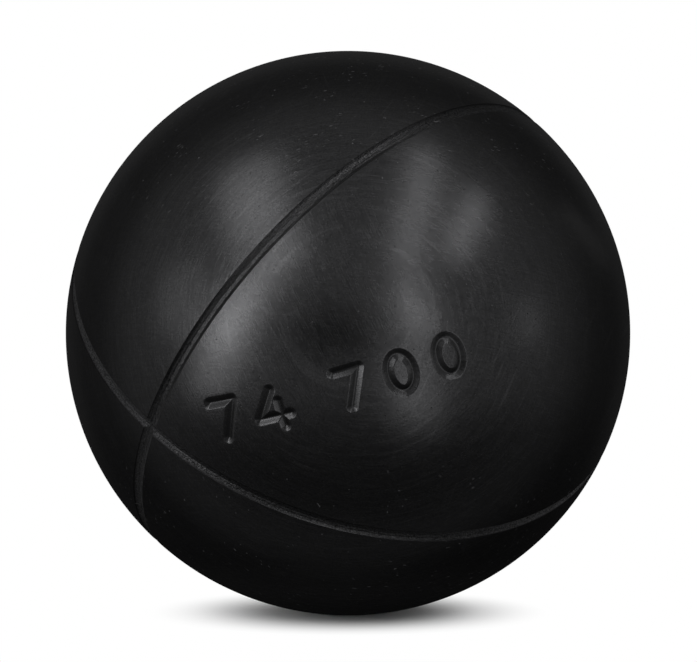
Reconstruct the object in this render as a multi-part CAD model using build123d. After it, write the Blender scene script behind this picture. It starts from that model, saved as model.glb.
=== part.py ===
from build123d import *
from math import asin, degrees, radians, sqrt, tan
import os

# A petanque boule for competition play: a hollow ball of carbon steel.
# Two forged half shells are centred on each other by a spigot and a rebate, and welded around
# the outside in a bevelled groove. The rough ball is turned to a sphere, and two striping
# grooves are cut into it on a lathe, through the shells and the weld alike.
# Lengths are in millimetres and angles in degrees. The origin is the centre of the ball.

# Ball
boule_diameter = 74.0
wall_thickness = 6.18
turning_allowance = 1.0

# Joint of the half shells, from the inside of the wall outwards
spigot_thickness = 1.6
spigot_height = 2.2
spigot_lead_in = 0.3
spigot_side_clearance = 0.05
spigot_end_clearance = 0.2
root_land_width = 1.4

# Weld groove, whose flanks lean away from the seam plane
weld_root_width = 1.2
weld_flank_angle = 30.0

# Striping grooves, two great circles at right angles.
# From the middle outwards: half a floor, a steep wall and a flatter broken edge.
groove_floor_width = 0.9
groove_wall_width = 0.2
groove_wall_height = 0.42
groove_edge_width = 0.2
groove_edge_height = 0.13
# Each groove's cut starts and ends here on its circle, clear of the poles and the weld.
groove_start_angle = 20.0
# How far off the ball's centre the lathe cut each groove, along the groove's own axis
first_groove_offset = 0.7
second_groove_offset = -0.7

# How the ball lies, seen from the front, which is the side of -Y.
# The poles are the two points where the striping grooves cross.
pole_azimuth = 45.8
pole_elevation = 13.4
pole_spin = 35.9
quarter_turn = 90.0

outer_radius = boule_diameter / 2
rough_radius = outer_radius + turning_allowance
inner_radius = outer_radius - wall_thickness
spigot_radius = inner_radius + spigot_thickness
rebate_radius = spigot_radius + spigot_side_clearance
rebate_depth = spigot_height + spigot_end_clearance
root_radius = spigot_radius + root_land_width
root_half_width = weld_root_width / 2


def radius_at(ball_radius, height):
    """Distance from the axis at which a ball reaches a height."""
    return sqrt(ball_radius**2 - height**2)


def bevel_height():
    """Height at which the bevel of a half shell meets the outside of the rough ball."""
    slope = tan(radians(weld_flank_angle))
    height_at_axis = root_half_width - slope * root_radius
    square = 1 + slope**2
    half_linear = slope * height_at_axis
    remainder = height_at_axis**2 - rough_radius**2
    radius = (sqrt(half_linear**2 - square * remainder) - half_linear) / square
    return height_at_axis + slope * radius


def ball_arc(ball_radius, start_height, end_height):
    """Arc of a circle about the origin between two heights, right of the axis."""
    start_angle = degrees(asin(start_height / ball_radius))
    end_angle = degrees(asin(end_height / ball_radius))
    return CenterArc((0, 0), ball_radius, start_angle, end_angle - start_angle)


def spun(*edges):
    """Solid of revolution about Z from the edges of a closed outline of radii and heights."""
    return revolve(Plane.XZ * make_face(edges), Axis.Z)


def spigot_forging():
    """Rough half shell on the +Z side, with its spigot reaching past the seam plane."""
    edge_height = bevel_height()
    return spun(
        Line((0, inner_radius), (0, rough_radius)),
        ball_arc(rough_radius, rough_radius, edge_height),
        Polyline(
            (radius_at(rough_radius, edge_height), edge_height),
            (root_radius, root_half_width),
            (root_radius, 0),
            (spigot_radius, 0),
            (spigot_radius, spigot_lead_in - spigot_height),
            (spigot_radius - spigot_lead_in, -spigot_height),
            (inner_radius, -spigot_height),
            (inner_radius, 0),
        ),
        ball_arc(inner_radius, 0, inner_radius),
    )


def rebate_forging():
    """Rough half shell on the -Z side, with the rebate that the spigot centres in."""
    edge_height = bevel_height()
    return spun(
        Line((0, -rough_radius), (0, -inner_radius)),
        ball_arc(inner_radius, -inner_radius, -rebate_depth),
        Polyline(
            (radius_at(inner_radius, rebate_depth), -rebate_depth),
            (rebate_radius, -rebate_depth),
            (rebate_radius, 0),
            (root_radius, 0),
            (root_radius, -root_half_width),
            (radius_at(rough_radius, edge_height), -edge_height),
        ),
        ball_arc(rough_radius, -edge_height, -rough_radius),
    )


def weld_fill():
    """Ring of weld metal that fills both bevels up to the rough ball."""
    edge_height = bevel_height()
    return spun(
        Polyline(
            (radius_at(rough_radius, edge_height), -edge_height),
            (root_radius, -root_half_width),
            (root_radius, root_half_width),
            (radius_at(rough_radius, edge_height), edge_height),
        ),
        ball_arc(rough_radius, edge_height, -edge_height),
    )


def striping_cut(offset):
    """Ring of metal that one striping groove takes away, around Z, for its place off the centre."""
    floor_half = groove_floor_width / 2
    wall_half = floor_half + groove_wall_width
    mouth_half = wall_half + groove_edge_width
    mouth_radius = radius_at(outer_radius, abs(offset) + mouth_half)
    wall_radius = mouth_radius - groove_edge_height
    floor_radius = wall_radius - groove_wall_height
    edge_slope = groove_edge_width / groove_edge_height
    rough_half = mouth_half + edge_slope * turning_allowance
    return spun(
        Polyline(
            (floor_radius, floor_half),
            (wall_radius, wall_half),
            (mouth_radius + turning_allowance, rough_half),
            (mouth_radius + turning_allowance, -rough_half),
            (wall_radius, -wall_half),
            (floor_radius, -floor_half),
            (floor_radius, floor_half),
        )
    )


def striped_ball():
    """The turned ball as a full solid, with grooves around X and Y that cross at the poles."""
    start = Rotation(0, 0, groove_start_angle)
    first_ring = Rotation(0, quarter_turn, 0) * start * striping_cut(first_groove_offset)
    second_ring = Rotation(quarter_turn, 0, 0) * start * striping_cut(second_groove_offset)
    grooves = (
        Pos(first_groove_offset, 0, 0) * first_ring + Pos(0, second_groove_offset, 0) * second_ring
    )
    eighth_turn = quarter_turn / 2
    ball = Rotation(0, 0, eighth_turn) * Rotation(0, eighth_turn, 0) * Sphere(outer_radius)
    return ball - grooves


lie = (
    Rotation(0, 0, pole_azimuth)
    * Rotation(0, quarter_turn - pole_elevation, 0)
    * Rotation(0, 0, pole_spin)
)

rough_pieces = {
    "spigot_shell": spigot_forging(),
    "rebate_shell": rebate_forging(),
    "weld_bead": weld_fill(),
}

os.makedirs("parts", exist_ok=True)
finished_ball = striped_ball()
for name, rough_piece in rough_pieces.items():
    piece = lie * (rough_piece & finished_ball)
    piece.label = name
    export_step(piece, f"parts/{name}.step")
    print(name, "volume", round(piece.volume, 1))
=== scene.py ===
import math

import bmesh
import bpy
from mathutils import Matrix, Vector


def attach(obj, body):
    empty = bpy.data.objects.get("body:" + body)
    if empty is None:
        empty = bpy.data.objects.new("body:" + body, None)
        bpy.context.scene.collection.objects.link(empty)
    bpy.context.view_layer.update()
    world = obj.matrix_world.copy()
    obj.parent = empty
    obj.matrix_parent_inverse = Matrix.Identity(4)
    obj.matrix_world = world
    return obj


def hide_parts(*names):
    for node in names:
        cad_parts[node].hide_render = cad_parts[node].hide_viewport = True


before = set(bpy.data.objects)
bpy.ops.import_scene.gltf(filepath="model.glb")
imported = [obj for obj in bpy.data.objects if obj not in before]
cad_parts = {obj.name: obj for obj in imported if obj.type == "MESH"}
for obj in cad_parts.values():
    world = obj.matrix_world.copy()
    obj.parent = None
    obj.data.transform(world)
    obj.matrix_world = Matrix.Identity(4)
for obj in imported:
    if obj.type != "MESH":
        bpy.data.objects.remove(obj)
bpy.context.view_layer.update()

# Spigot shell. One of the two forged half shells of carbon steel, with the spigot that centres
# the other half. Its outside is turned with the welded ball, and the lathe's striping grooves
# cross at its pole. The whole ball is blackened and left with a light brushed sheen.
ball_radius = 0.037
stripe_half = 0.00085
stripe_depth = 0.00052
ridge_height = 0.000016
ridge_pitch = 0.00042
ridge_end = 0.00078
ridge_run_out = 0.0002
first_stripe_offset = 0.0007
second_stripe_offset = -0.0007
seam_height = 0.00239
skin_edge = 0.00242
root_radius = 0.03382
root_half = 0.0006
spigot_radius = 0.03242
spigot_height = 0.0022
spigot_lead_in = 0.0003
inner_radius = 0.03082
dome_rings = 14
dome_turn = math.radians(6)
coarse_cuts = 3
fine_cuts = 23
stripe_cuts = 47
hair = 1e-7
crease = math.radians(40)
stripe_share = stripe_half / ball_radius
seam_share = skin_edge / ball_radius
patch_share = 1 - 2 * stripe_share**2 - seam_share**2
ball_lie = (
    Matrix.Rotation(math.radians(45.8), 4, "Z")
    @ Matrix.Rotation(math.radians(76.6), 4, "Y")
    @ Matrix.Rotation(math.radians(35.9), 4, "Z")
)


def pick(piece, rule, kind="VERT"):
    """Selects the corners, edges or faces whose corners all lie where the rule says."""
    bpy.ops.mesh.select_mode(type=kind)
    bpy.ops.mesh.select_all(action="DESELECT")
    mesh = bmesh.from_edit_mesh(piece.data)
    if kind == "VERT":
        for corner in mesh.verts:
            corner.select_set(rule(corner.co))
    else:
        for part in mesh.edges if kind == "EDGE" else mesh.faces:
            part.select_set(all(rule(corner.co) for corner in part.verts))
    bmesh.update_edit_mesh(piece.data)


def place(piece, rule):
    """Moves each selected corner to where the rule puts it."""
    mesh = bmesh.from_edit_mesh(piece.data)
    for corner in mesh.verts:
        if corner.select:
            corner.co = rule(corner.co)
    bmesh.update_edit_mesh(piece.data)


def ease(share):
    """Smooth step from 0 to 1."""
    share = min(max(share, 0.0), 1.0)
    return share * share * (3 - 2 * share)


def stripe_radius(offset):
    """Distance of the grooved surface from a stripe's axis, this far from its middle plane."""
    offset = min(abs(offset), stripe_half)
    nose_radius = (stripe_half**2 + stripe_depth**2) / (2 * stripe_depth)
    round_cut = math.sqrt(nose_radius**2 - offset**2) - (nose_radius - stripe_depth)
    fading = ease((ridge_end - offset) / ridge_run_out)
    ridges = ridge_height * math.cos(offset * 2 * math.pi / ridge_pitch) * fading
    return math.sqrt(ball_radius**2 - offset**2) - round_cut + ridges


def on_stripe(offset, height, sign_of):
    """How far out the grooved surface lies at a height, on the side that a number's sign gives."""
    return math.copysign(math.sqrt(stripe_radius(offset) ** 2 - height**2), sign_of)


def open_gaps(corner):
    """From the plain ball to one quarter of the half, clear of both stripes and the seam."""
    across, along, up = corner.normalized()
    return ball_radius * Vector((
        math.sqrt(stripe_share**2 + patch_share * across**2),
        math.sqrt(stripe_share**2 + patch_share * along**2),
        math.sqrt(seam_share**2 + patch_share * up**2),
    ))


def sink_stripes(corner):
    """Sinks the bridged strips to the grooves that the lathe tool leaves."""
    x, y, z = corner
    in_x = abs(x) < stripe_half - hair
    in_y = abs(y) < stripe_half - hair
    at_edge = z < skin_edge + 10 * hair
    if in_x and in_y:
        height_x = math.sqrt(stripe_radius(x) ** 2 - y**2)
        height_y = math.sqrt(stripe_radius(y) ** 2 - x**2)
        return Vector((x, y, min(height_x, height_y)))
    if in_x:
        if at_edge:
            return Vector((x, on_stripe(x, z, y), z))
        size = stripe_radius(x) / math.hypot(y, z)
        return Vector((x, y * size, z * size))
    if in_y:
        if at_edge:
            return Vector((on_stripe(y, z, x), y, z))
        size = stripe_radius(y) / math.hypot(x, z)
        return Vector((x * size, y, z * size))
    return corner.copy()


bpy.ops.object.select_all(action="DESELECT")
bpy.ops.mesh.primitive_cube_add(size=2 * ball_radius)
skin = bpy.context.active_object
bpy.ops.object.mode_set(mode="EDIT")
bpy.ops.mesh.subdivide(number_cuts=coarse_cuts)
pick(skin, lambda corner: min(corner) < -10 * hair)
bpy.ops.mesh.delete(type="VERT")
bpy.ops.mesh.select_all(action="SELECT")
bpy.ops.mesh.subdivide(number_cuts=fine_cuts)
place(skin, open_gaps)
bpy.ops.object.mode_set(mode="OBJECT")
mirror = skin.modifiers.new("other quarters", "MIRROR")
mirror.use_axis = (True, True, False)
mirror.use_mirror_merge = False
bpy.ops.object.modifier_apply(modifier=mirror.name)
bpy.ops.object.mode_set(mode="EDIT")
for side in (1, -1):
    for aside, ahead in ((0, 1), (1, 0)):
        pick(
            skin,
            lambda corner: abs(abs(corner[aside]) - stripe_half) < hair
            and corner[ahead] * side > stripe_half - hair,
            "EDGE",
        )
        bpy.ops.mesh.bridge_edge_loops(number_cuts=stripe_cuts, interpolation="LINEAR")
pick(skin, lambda corner: max(abs(corner.x), abs(corner.y)) < stripe_half + hair, "EDGE")
bpy.ops.mesh.fill_grid(span=stripe_cuts + 1)
bpy.ops.mesh.select_all(action="SELECT")
place(skin, sink_stripes)
bpy.ops.mesh.select_all(action="SELECT")
bpy.ops.mesh.normals_make_consistent(inside=False)
bpy.ops.object.mode_set(mode="OBJECT")


def slide(corner, height):
    """Slides a corner of the skin's edge down the turned and grooved outside to this height."""
    x, y, z = corner
    if abs(x) < stripe_half - hair:
        return Vector((x, on_stripe(x, height, y), height))
    if abs(y) < stripe_half - hair:
        return Vector((on_stripe(y, height, x), y, height))
    squares = ball_radius**2 - 2 * stripe_half**2
    share = (squares - height**2) / (squares - z**2)
    new_x = math.sqrt(stripe_half**2 + (x**2 - stripe_half**2) * share)
    new_y = math.sqrt(stripe_half**2 + (y**2 - stripe_half**2) * share)
    return Vector((math.copysign(new_x, x), math.copysign(new_y, y), height))


def add_ring(piece, radius, height):
    """Extrudes the picked edge to a plain ring of this radius and height."""
    bpy.ops.mesh.extrude_region_move()
    place(piece, lambda corner: Vector((*corner.xy.normalized() * radius, height)))


def add_rim(piece, joint_rings):
    """Brings the skin down to the seam, on through the joint's rings, and closes the inside."""
    bpy.ops.object.mode_set(mode="EDIT")
    pick(piece, lambda corner: corner.z < skin_edge + 10 * hair, "EDGE")
    bpy.ops.mesh.extrude_region_move()
    place(piece, lambda corner: slide(corner, seam_height))
    for radius, height in joint_rings:
        add_ring(piece, radius, height)
    for ring in range(1, dome_rings + 1):
        turn = ring * dome_turn
        add_ring(piece, inner_radius * math.cos(turn), inner_radius * math.sin(turn))
    bpy.ops.mesh.merge(type="CENTER")
    bpy.ops.mesh.select_all(action="SELECT")
    bpy.ops.mesh.normals_make_consistent(inside=False)
    bpy.ops.object.mode_set(mode="OBJECT")


def copy_of(piece, name):
    """A copy with its own mesh, picked and active."""
    bpy.ops.object.select_all(action="DESELECT")
    made = piece.copy()
    made.data = piece.data.copy()
    made.name = name
    made.data.name = name
    bpy.context.collection.objects.link(made)
    made.select_set(True)
    bpy.context.view_layer.objects.active = made
    return made


def off_centre(corner):
    """Shifts the stripes off the ball's centre, where the lathe cut them, and keeps the ball round."""
    if corner.length < ball_radius - 0.001:
        return corner.copy()
    shift_x = first_stripe_offset * (1 - (corner.x / ball_radius) ** 2)
    shift_y = second_stripe_offset * (1 - (corner.y / ball_radius) ** 2)
    return (corner + Vector((shift_x, shift_y, 0))).normalized() * corner.length


def lay(piece):
    """Turns a finished piece to how the ball lies, with its place in its mesh."""
    for corner in piece.data.vertices:
        corner.co = off_centre(corner.co)
    piece.matrix_world = ball_lie @ piece.matrix_world
    bpy.ops.object.transform_apply(location=True, rotation=True, scale=True)
    bpy.ops.object.mode_set(mode="EDIT")
    bpy.ops.mesh.select_all(action="SELECT")
    bpy.ops.mesh.normals_make_consistent(inside=False)
    bpy.ops.object.mode_set(mode="OBJECT")
    bpy.ops.object.shade_smooth_by_angle(angle=crease)


spigot_shell = copy_of(skin, "spigot_half")
add_rim(spigot_shell, [
    (root_radius, root_half),
    (root_radius, 0),
    (spigot_radius, 0),
    (spigot_radius, spigot_lead_in - spigot_height),
    (spigot_radius - spigot_lead_in, -spigot_height),
    (inner_radius, -spigot_height),
    (inner_radius, 0),
])
lay(spigot_shell)


class Wire:
    """One output of a shader node, on which Python's own arithmetic adds Math nodes."""

    def __init__(self, tree, socket=None):
        self.tree = tree
        self.socket = socket

    def node(self, kind, settings=None, sockets=None, out=0):
        """Adds a node, makes its settings, then fills its sockets with values or links."""
        made = self.tree.nodes.new(kind)
        for name, value in (settings or {}).items():
            setattr(made, name, value)
        for name, value in (sockets or {}).items():
            if isinstance(value, Wire):
                self.tree.links.new(value.socket, made.inputs[name])
            else:
                made.inputs[name].default_value = value
        return Wire(self.tree, made.outputs[out] if made.outputs else None)

    def sum(self, operation, *values):
        """One Math node."""
        return self.node("ShaderNodeMath", {"operation": operation}, dict(enumerate(values)))

    def __add__(self, other):
        return self.sum("ADD", self, other)

    def __sub__(self, other):
        return self.sum("SUBTRACT", self, other)

    def __rsub__(self, other):
        return self.sum("SUBTRACT", other, self)

    def __mul__(self, other):
        return self.sum("MULTIPLY", self, other)

    def __truediv__(self, other):
        return self.sum("DIVIDE", self, other)

    def __rtruediv__(self, other):
        return self.sum("DIVIDE", other, self)

    def __pow__(self, other):
        return self.sum("POWER", self, other)

    __radd__ = __add__
    __rmul__ = __mul__


def along(spot, axis):
    """How far a place lies from the ball's centre in one direction."""
    return spot.node("ShaderNodeVectorMath", {"operation": "DOT_PRODUCT"}, {0: spot, 1: axis}, "Value")


def reach(spot):
    """How far a place lies from the ball's centre."""
    return spot.node("ShaderNodeVectorMath", {"operation": "LENGTH"}, {0: spot}, "Value")


def fade(value, low, high, start=0.0, end=1.0):
    """Smooth step of a value, from start at low to end at high."""
    return value.node("ShaderNodeMapRange", {"interpolation_type": "SMOOTHSTEP"}, {
        "Value": value, "From Min": low, "From Max": high, "To Min": start, "To Max": end,
    })


def arcs(spot, axis, across, length, detail=2.0, start=(0, 0, 0)):
    """Noise drawn out in arcs around an axis, as a polishing wheel leaves on the ball."""
    turned = spot.node("ShaderNodeMapping", {"vector_type": "TEXTURE"}, {
        "Vector": spot,
        "Location": start,
        "Rotation": axis.to_track_quat("Z", "Y").to_euler(),
        "Scale": (length, length, across),
    })
    return spot.node("ShaderNodeTexNoise", {}, {
        "Vector": turned, "Scale": 1, "Detail": detail, "Roughness": 0.6,
    })


def mottle(spot, size, detail):
    """Even noise with patches of this size."""
    return spot.node("ShaderNodeTexNoise", {}, {
        "Vector": spot, "Scale": 1 / size, "Detail": detail, "Roughness": 0.55,
    })


def dots(spot, spacing, radius, share):
    """Small round dots, one in some cells of this size."""
    cells = {"Vector": spot, "Scale": 1 / spacing, "Randomness": 1}
    from_middle = spot.node("ShaderNodeTexVoronoi", {}, cells, "Distance")
    chance = spot.node("ShaderNodeTexVoronoi", {}, cells, "Color")
    chance = spot.node("ShaderNodeSeparateColor", {}, {0: chance}, "Red")
    size = radius / spacing
    return fade(from_middle, size * 1.3, size * 0.5) * fade(chance, share, share * 0.9)


# The front of the ball leans up a little, to where its polish and its marks are looked at from.
front_lean = math.radians(5)
front_up = Vector((0, math.sin(front_lean), math.cos(front_lean)))
front_out = Vector((0, -math.cos(front_lean), math.sin(front_lean)))


def from_front(x, y, z):
    """A direction given to the right, up and outwards at the ball's front."""
    return (Vector((x, 0, 0)) + front_up * y + front_out * z).normalized()


steel = bpy.data.materials.new("black_steel")
steel.use_nodes = True
shader = steel.node_tree.nodes["Principled BSDF"]
shader.inputs["Specular IOR Level"].default_value = 0
spot = Wire(steel.node_tree).node("ShaderNodeTexCoord", out="Object")
up = along(spot, from_front(0, 1, 0))
sideways = along(spot, from_front(0.95, 0.3, 0))

# What is cut into the ball, and how much of that the lathe left with its ridges.
depth_mm = (ball_radius - reach(spot)) * 1000
sunk = fade(depth_mm, 0.05, 0.22)
off_first = along(spot, ball_lie.col[0].xyz) - first_stripe_offset
off_second = along(spot, ball_lie.col[1].xyz) - second_stripe_offset
off_stripe = spot.sum("MINIMUM", spot.sum("ABSOLUTE", off_first), spot.sum("ABSOLUTE", off_second))
lathed = sunk * fade(off_stripe, 0.00092, 0.00084)

# The polishing wheel went round the ball about three axes, and each set of arcs shows on one side.
patches = mottle(spot, size=0.011, detail=1)
to_left_mm = along(spot, from_front(-0.62, 0.2, 0.75)) * 1000
left_share = fade(to_left_mm + (patches - 0.5) * 25, 24, 31) * fade(off_second, 0.0005, -0.0005)
right_share = fade(sideways + (patches - 0.5) * 0.01, 0.013, 0.021)
front_arcs = arcs(spot, from_front(0.08, 0.02, 1), across=0.00014, length=0.0030)
left_arcs = arcs(spot, from_front(0.89, 0.44, 0.14), across=0.00015, length=0.0024)
level_arcs = arcs(spot, from_front(0.14, 1, -0.14), across=0.00015, length=0.0026)
brushed = (front_arcs * (1 - left_share) + left_arcs * left_share) * 0.65 + level_arcs * 0.35 - 0.5
brushed = brushed * (1 - right_share * 0.5) + (level_arcs - 0.5) * right_share * 0.3

# Marks of wear and cloth: fine grain, stains, long swirls and scores, pits, and settled dust.
line_width = 0.00026
grain = mottle(spot, size=0.00017, detail=2) - 0.5
stains = mottle(spot, size=0.0016, detail=4) - 0.5
swirls = arcs(spot, from_front(0.02, 0.06, 1), line_width, 0.011, 1, start=(0.002, 0, 0))
hairlines = arcs(spot, from_front(0.85, 0.5, 0.1), line_width, 0.012, 1, start=(0.003, 0.001, 0))
scores = arcs(spot, from_front(-0.5, 0.8, 0.3), line_width, 0.010, 1)
lines = fade(swirls, 0.60, 0.74) + fade(hairlines, 0.68, 0.78) + fade(scores, 0.69, 0.78)
scratches = arcs(spot, from_front(0.91, -0.40, 0.1), line_width, 0.010, 1, start=(0.001, 0.004, 0))
scratches = fade(scratches, 0.64, 0.75) * fade(sideways, 0.001, 0.008) * fade(up, 0.010, 0.0)
pits = dots(spot, spacing=0.0011, radius=0.00010, share=0.35)
settled = 0.12 + fade(up, 0.010, 0.022) + fade(up, -0.012, -0.024)
lint = arcs(spot, from_front(0.3, -0.5, 0.8), across=0.00018, length=0.0007, detail=0)
lint = fade(lint, 0.75, 0.82) * fade(mottle(spot, size=0.004, detail=1), 0.50, 0.62)
specks = dots(spot, spacing=0.0019, radius=0.00011, share=0.36)
dust = (specks + lint) * settled

# The black coat mirrors most where it is looked at squarely, and turns matt towards the ball's
# edge. Layer Weight gives that gloss, with the plain ball's own normal.
ball_normal = spot.node("ShaderNodeVectorMath", {"operation": "NORMALIZE"}, {0: spot}, "Vector")
facing = spot.node("ShaderNodeLayerWeight", {}, {"Blend": 0.5, "Normal": ball_normal}, "Facing")
edge_gloss = fade(facing, 0.60, 0.80, 0, 0.030) * fade(up, 0.004, 0.024, 0.5, 1.0)
metallic = (1 / (1 + (facing / 0.335) ** 6) + edge_gloss) * (1 - dust * 0.8)

tone = 1 + (patches - 0.5) * 0.15 + stains * 0.20 + brushed + grain * 1.6
tone = tone + lines * 0.25 + scratches * 0.35 - pits * 0.35
# Painted light and shade in the base colour: painted shade that darkens it towards the ball's edge as
# seen, through Layer Weight's Facing, and a painted light that makes it up to 2.2 times brighter at
# the very bottom.
polished = tone * fade(facing, 0.10, 0.56, 0.0205, 0.0040) * fade(up, -0.028, -0.036, 1, 2.2)
cut = 0.0155 * (1 + grain * lathed * 4.5)
# Painted shade and light on the stripes' floor: up to 45 percent darker high up towards the edge as
# seen, and up to 1.7 times brighter low down on the right.
cut = cut * (1 - 0.45 * fade(up, 0, 0.02) * fade(facing, 0.25, 0.5))
cut = cut * (1 + 0.7 * fade(sideways, 0.002, 0.018) * fade(up, 0, -0.015))
grey = polished * (1 - sunk) + cut * sunk + dust * 0.028
colour = spot.node("ShaderNodeCombineColor", {}, {0: grey, 1: grey, 2: grey * 1.03})
rough = 0.265 + stains * 0.05 + brushed * 0.15 + lathed * 0.05 + pits * 0.1
relief = brushed * 0.8 + grain * 0.7 + grain * lathed * 3.0 - pits + dust
bump = spot.node("ShaderNodeBump", {}, {"Height": relief, "Distance": 0.000016, "Strength": 1.0})
for name, wire in (
    ("Base Color", colour),
    ("Roughness", rough),
    ("Metallic", metallic),
    ("Normal", bump),
):
    steel.node_tree.links.new(wire.socket, shader.inputs[name])

spigot_shell.data.materials.append(steel)
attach(spigot_shell, "root")
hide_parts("spigot_shell")

# Rebate shell. The other forged half of the same steel, whose rebate takes the spigot. Its
# diameter in millimetres and its weight in grams are struck into its front with V-edged punches
# before the ball is blackened.
rebate_radius = 0.03247
rebate_depth = 0.0024
rebate_shell = copy_of(skin, "rebate_half")
add_rim(rebate_shell, [
    (root_radius, root_half),
    (root_radius, 0),
    (rebate_radius, 0),
    (rebate_radius, rebate_depth),
    (math.sqrt(inner_radius**2 - rebate_depth**2), rebate_depth),
])
rebate_shell.matrix_world = Matrix.Scale(-1, 4, (0, 0, 1))
lay(rebate_shell)

stamp_middle = Vector((-0.039, -0.993, -0.110)).normalized()
stamp_rise = math.radians(17)
stamp_along = Vector((1, 0, 0)) * math.cos(stamp_rise) + front_up * math.sin(stamp_rise)
stamp_along = (stamp_along - stamp_along.dot(stamp_middle) * stamp_middle).normalized()
stamp_up = stamp_middle.cross(stamp_along)
stroke_half = 0.00075
stroke_slope = 0.58
punch_nose = 0.00012
digit_pitch = 0.0064
line_reach = 0.006
digit_reach = 0.0045

# Each digit is a row of points in millimetres from its middle, and stands at a place in the line.
zero_width, zero_height = 1.55, 2.35
digit_rows = {
    "7": [(-1.7, 2.35), (1.6, 2.35), (-0.5, -2.35)],
    "4": [(1.0, -2.4), (1.0, 0.8), (1.0, -1.0), (2.1, -1.0), (-2.0, -1.0), (0.3, 2.4)],
    "0": [
        (zero_width * math.cos(turn), zero_height * math.sin(turn))
        for turn in (step * math.pi / 12 for step in range(25))
    ],
}
stamped = [("7", -2.3), ("4", -1.3), ("7", 0.3), ("0", 1.3), ("0", 2.3)]


def stroke_distance(corner):
    """Distance along the ball from the nearest stroke's middle line."""
    right = ball_radius * math.atan2(corner.dot(stamp_along), corner.dot(stamp_middle))
    above = ball_radius * math.asin(corner.dot(stamp_up) / corner.length)
    nearest = 1.0
    inside = corner.length < ball_radius - 0.0007
    if inside or corner.dot(stamp_middle) < 0 or abs(above) > line_reach:
        return nearest
    for digit, column in stamped:
        x = right - column * digit_pitch
        if abs(x) > digit_reach:
            continue
        points = digit_rows[digit]
        for (x0, y0), (x1, y1) in zip(points, points[1:]):
            run_x, run_y = (x1 - x0) / 1000, (y1 - y0) / 1000
            from_x, from_y = x - x0 / 1000, above - y0 / 1000
            share = (from_x * run_x + from_y * run_y) / (run_x**2 + run_y**2)
            share = min(max(share, 0.0), 1.0)
            nearest = min(nearest, math.hypot(from_x - share * run_x, from_y - share * run_y))
    return nearest


def sink_strokes(corner):
    """Presses the strokes into the ball, with two walls that lean to a narrow rounded bottom."""
    off_middle = math.hypot(stroke_distance(corner), punch_nose)
    depth = stroke_slope * max(stroke_half - off_middle, 0.0)
    return corner.normalized() * (ball_radius - depth)


bpy.ops.object.mode_set(mode="EDIT")
for near, cuts in ((0.0018, 1), (0.0011, 3)):
    pick(rebate_shell, lambda corner: stroke_distance(corner) < near, "FACE")
    bpy.ops.mesh.subdivide(number_cuts=cuts)
pick(rebate_shell, lambda corner: stroke_distance(corner) < 0.0024)
place(rebate_shell, sink_strokes)
bpy.ops.object.mode_set(mode="OBJECT")
bpy.ops.object.shade_smooth_by_angle(angle=crease)

rebate_shell.data.materials.append(steel)
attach(rebate_shell, "root")
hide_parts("rebate_shell")

# Weld bead. The ring of weld metal that fills the two bevels and joins the halves. It is turned
# flush with the ball, grooved and blackened with it, so it doesn't show.
weld_bead = copy_of(skin, "weld_ring")
bpy.ops.object.mode_set(mode="EDIT")
pick(weld_bead, lambda corner: corner.z > skin_edge + 10 * hair)
bpy.ops.mesh.delete(type="VERT")
bpy.ops.mesh.select_all(action="SELECT")
place(weld_bead, lambda corner: slide(corner, seam_height))
bead_half = 2 * seam_height - skin_edge
bead_rows = 6
bead_heights = [bead_half * (1 - 2 * row / bead_rows) for row in range(bead_rows + 1)]
for height in (*bead_heights, -seam_height):
    bpy.ops.mesh.extrude_region_move()
    place(weld_bead, lambda corner: slide(corner, height))
for height in (-root_half, root_half):
    add_ring(weld_bead, root_radius, height)
mesh = bmesh.from_edit_mesh(weld_bead.data)
bpy.ops.mesh.select_mode(type="EDGE")
for edge in mesh.edges:
    edge.select_set(edge.is_boundary)
bmesh.update_edit_mesh(weld_bead.data)
bpy.ops.mesh.bridge_edge_loops()
bpy.ops.object.mode_set(mode="OBJECT")
lay(weld_bead)
bpy.data.objects.remove(skin)

weld_bead.data.materials.append(steel)
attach(weld_bead, "root")
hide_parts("weld_bead")

# Table. White paper on a studio table under the ball, which shows only the soft shadow where
# the ball touches it. Away from the ball it glows, so that it reads as plain white.
table_width = 6
bpy.ops.object.select_all(action="DESELECT")
bpy.ops.mesh.primitive_plane_add(size=table_width, location=(0, 0, -ball_radius))
floor = bpy.context.active_object
floor.name = "floor"
bpy.ops.object.transform_apply(location=True, rotation=True, scale=True)


def seen_white(wire):
    """1 for the rays that show the white surround, and 0 for those that only light the ball."""
    camera_ray, glossy_ray, clear_ray = (
        wire.node("ShaderNodeLightPath", out=f"Is {kind} Ray")
        for kind in ("Camera", "Glossy", "Transmission")
    )
    return wire.sum("MAXIMUM", wire.sum("MAXIMUM", camera_ray, glossy_ray), clear_ray)


def bare_material(name):
    """A material with no shader yet, and a wire that gives the place on its object."""
    made = bpy.data.materials.new(name)
    made.use_nodes = True
    made.node_tree.nodes.remove(made.node_tree.nodes["Principled BSDF"])
    return made, Wire(made.node_tree).node("ShaderNodeTexCoord", out="Object")


def glowing(level):
    """A white glow of this level."""
    white = level.node("ShaderNodeCombineColor", {}, {0: level, 1: level, 2: level})
    return level.node("ShaderNodeEmission", {}, {"Color": white, "Strength": 1})


def show(material, surface, piece):
    """Gives a piece the material, with this surface."""
    output = material.node_tree.nodes["Material Output"]
    material.node_tree.links.new(surface.socket, output.inputs["Surface"])
    piece.data.materials.append(material)


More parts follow.
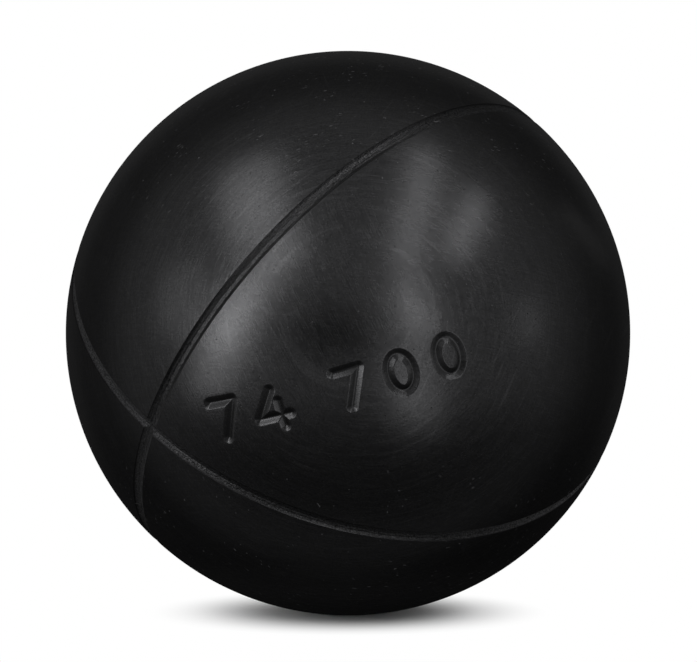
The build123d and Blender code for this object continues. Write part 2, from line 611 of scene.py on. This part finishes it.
paper, spot = bare_material("white_table")
oval_spot = spot.node("ShaderNodeVectorMath", {"operation": "MULTIPLY"}, {0: spot, 1: (1, 1.35, 0)})
away = reach(oval_spot)
seen = seen_white(spot)
glow = seen + (1 - seen) * fade(away, 0.016, 0.036, 0, 0.45)
show(paper, spot.node("ShaderNodeMixShader", {}, {
    0: fade(away, 0.0085, 0.027),
    1: spot.node("ShaderNodeBsdfDiffuse", {}, {"Color": (0.8, 0.8, 0.8, 1)}),
    2: glowing(glow),
}), floor)


def hide_card(card):
    """Makes a flat card part of the studio, which only the polished steel sees."""
    bpy.ops.object.transform_apply(location=True, rotation=True, scale=True)
    card.visible_camera = False
    card.visible_diffuse = False
    card.visible_shadow = False
    card.visible_transmission = False


# Dark card. Black card round the ball just above the table, seen only in the steel's reflections: a
# painted dark reflection that keeps the lower half of the steel dark. Its dim glow, which grows away
# from the ball, and its two pale streaks are painted reflections of the lit parts of the room that the
# steel shows low down.
card_radius = 2.5
card_height = 0.0002 - ball_radius
bpy.ops.object.select_all(action="DESELECT")
bpy.ops.mesh.primitive_circle_add(
    vertices=96, radius=card_radius, fill_type="NGON", location=(0, 0, card_height)
)
card = bpy.context.active_object
card.name = "dark_card"
hide_card(card)
reflection_card_paint, spot = bare_material("dark_card")
shine = fade(reach(spot), 0.045, 0.16, 0.16, 0.9)
for out_x, out_y, near, glow in ((0.40, -0.917, 0.065, 3.3), (-0.775, -0.632, 0.11, 4.8)):
    ahead = along(spot, (out_x, out_y, 0))
    aside = along(spot, (-out_y, out_x, 0))
    lean = aside.sum("ABSOLUTE", aside / ahead.sum("MAXIMUM", ahead, 0.001))
    shine = shine + fade(lean, 0.21, 0.05) * fade(ahead, near, near + 0.05, 0, glow)
show(reflection_card_paint, glowing(shine), card)

# Camera. A long lens half a metre from the ball and a little above its middle, which is where
# the photograph was taken from. It aims a hair off the middle, to frame the ball as there.
camera_distance = 0.518
camera = bpy.data.objects.new("camera", bpy.data.cameras.new("camera"))
bpy.context.collection.objects.link(camera)
camera.data.lens = 203.6
camera.data.sensor_width = 36
camera.data.clip_start = 0.01
camera.location = front_out * camera_distance
aim = Vector((0.000066, 0, 0)) + front_up * 0.000276
camera.rotation_euler = (camera.location - aim).to_track_quat("Z", "Y").to_euler()
bpy.context.scene.camera = camera

# Lens card. The dark front of the camera and its stand, as a round card with a soft edge that only the
# steel's reflections see. It is a painted dark reflection, and shows as a dim patch in the middle of
# the ball.
hood_distance = 0.6
hood_radius = 0.30
hood_side = from_front(-0.09, -0.10, 0.97)
bpy.ops.object.select_all(action="DESELECT")
bpy.ops.mesh.primitive_circle_add(vertices=64, radius=hood_radius, fill_type="NGON")
hood = bpy.context.active_object
hood.name = "lens_card"
hood_turn = hood_side.to_track_quat("Z", "Y").to_matrix().to_4x4()
hood.matrix_world = Matrix.Translation(hood_side * hood_distance) @ hood_turn
hide_card(hood)
hood_paint, spot = bare_material("lens_card")
from_middle = spot.node("ShaderNodeVectorMath", {"operation": "DISTANCE"}, {
    0: spot, 1: hood_side * hood_distance,
}, "Value")
show(hood_paint, spot.node("ShaderNodeMixShader", {}, {
    0: fade(from_middle, 0.10, 0.25),
    1: spot.node("ShaderNodeEmission", {}, {"Strength": 0.05}),
    2: spot.node("ShaderNodeBsdfTransparent"),
}), hood)

# Studio. A white surround, and soft boxes and strip lights one metre from the ball. Each runs
# from one direction to another, and shows on the steel as one of the photograph's bright bands.
world = bpy.data.worlds.new("studio")
bpy.context.scene.world = world
world.use_nodes = True
background = world.node_tree.nodes["Background"]
background.inputs["Color"].default_value = (1, 1, 1, 1)
world_level = seen_white(Wire(world.node_tree)) * 0.6 + 0.4
world.node_tree.links.new(world_level.socket, background.inputs["Strength"])


def strip_light(name, first, last, wide, radiance):
    """A flat lamp that faces the ball, from one direction to another."""
    lamp = bpy.data.objects.new(name, bpy.data.lights.new(name, "AREA"))
    bpy.context.collection.objects.link(lamp)
    first, last = from_front(*first), from_front(*last)
    long = (last - first).length
    down = (last - first).normalized()
    middle = (first + last) / 2
    outward = (middle - middle.dot(down) * down).normalized()
    lamp.data.shape = "RECTANGLE"
    lamp.data.size = wide
    lamp.data.size_y = long
    lamp.data.energy = radiance * math.pi * wide * long
    turn = Matrix((down.cross(outward), down, outward)).transposed().to_4x4()
    lamp.matrix_world = Matrix.Translation(middle) @ turn
    lamp.visible_camera = False


strip_light("upper_left_box", (-0.50, 0.86, 0.05), (-0.51, 0.57, 0.62), wide=0.34, radiance=5.4)
strip_light("left_strip_top", (-0.32, 0.60, 0.73), (-0.60, 0.30, 0.745), wide=0.15, radiance=9.5)
strip_light("left_strip", (-0.61, 0.28, 0.74), (-0.79, -0.10, 0.61), wide=0.17, radiance=16)
strip_light("left_box", (-0.88, 0.38, 0.28), (-0.95, 0.0, 0.31), wide=0.34, radiance=2.1)
strip_light("middle_strip_top", (0.388, 0.93, 0.0), (0.386, 0.66, 0.64), wide=0.11, radiance=7.6)
strip_light("middle_strip", (0.386, 0.66, 0.64), (0.366, 0.40, 0.84), wide=0.13, radiance=7.0)
strip_light("middle_strip_low", (0.37, 0.32, 0.87), (0.495, -0.03, 0.865), wide=0.125, radiance=10)
strip_light("right_strip", (0.675, 0.725, 0.12), (0.63, 0.465, 0.625), wide=0.05, radiance=18)
strip_light("side_strip", (0.97, 0.15, 0.2), (0.97, -0.03, 0.24), wide=0.20, radiance=2.3)
strip_light("rear_strip", (0.757, 0.429, -0.494), (0.667, 0.186, -0.722), wide=0.04, radiance=14)

bpy.context.scene.view_settings.view_transform = "Standard"
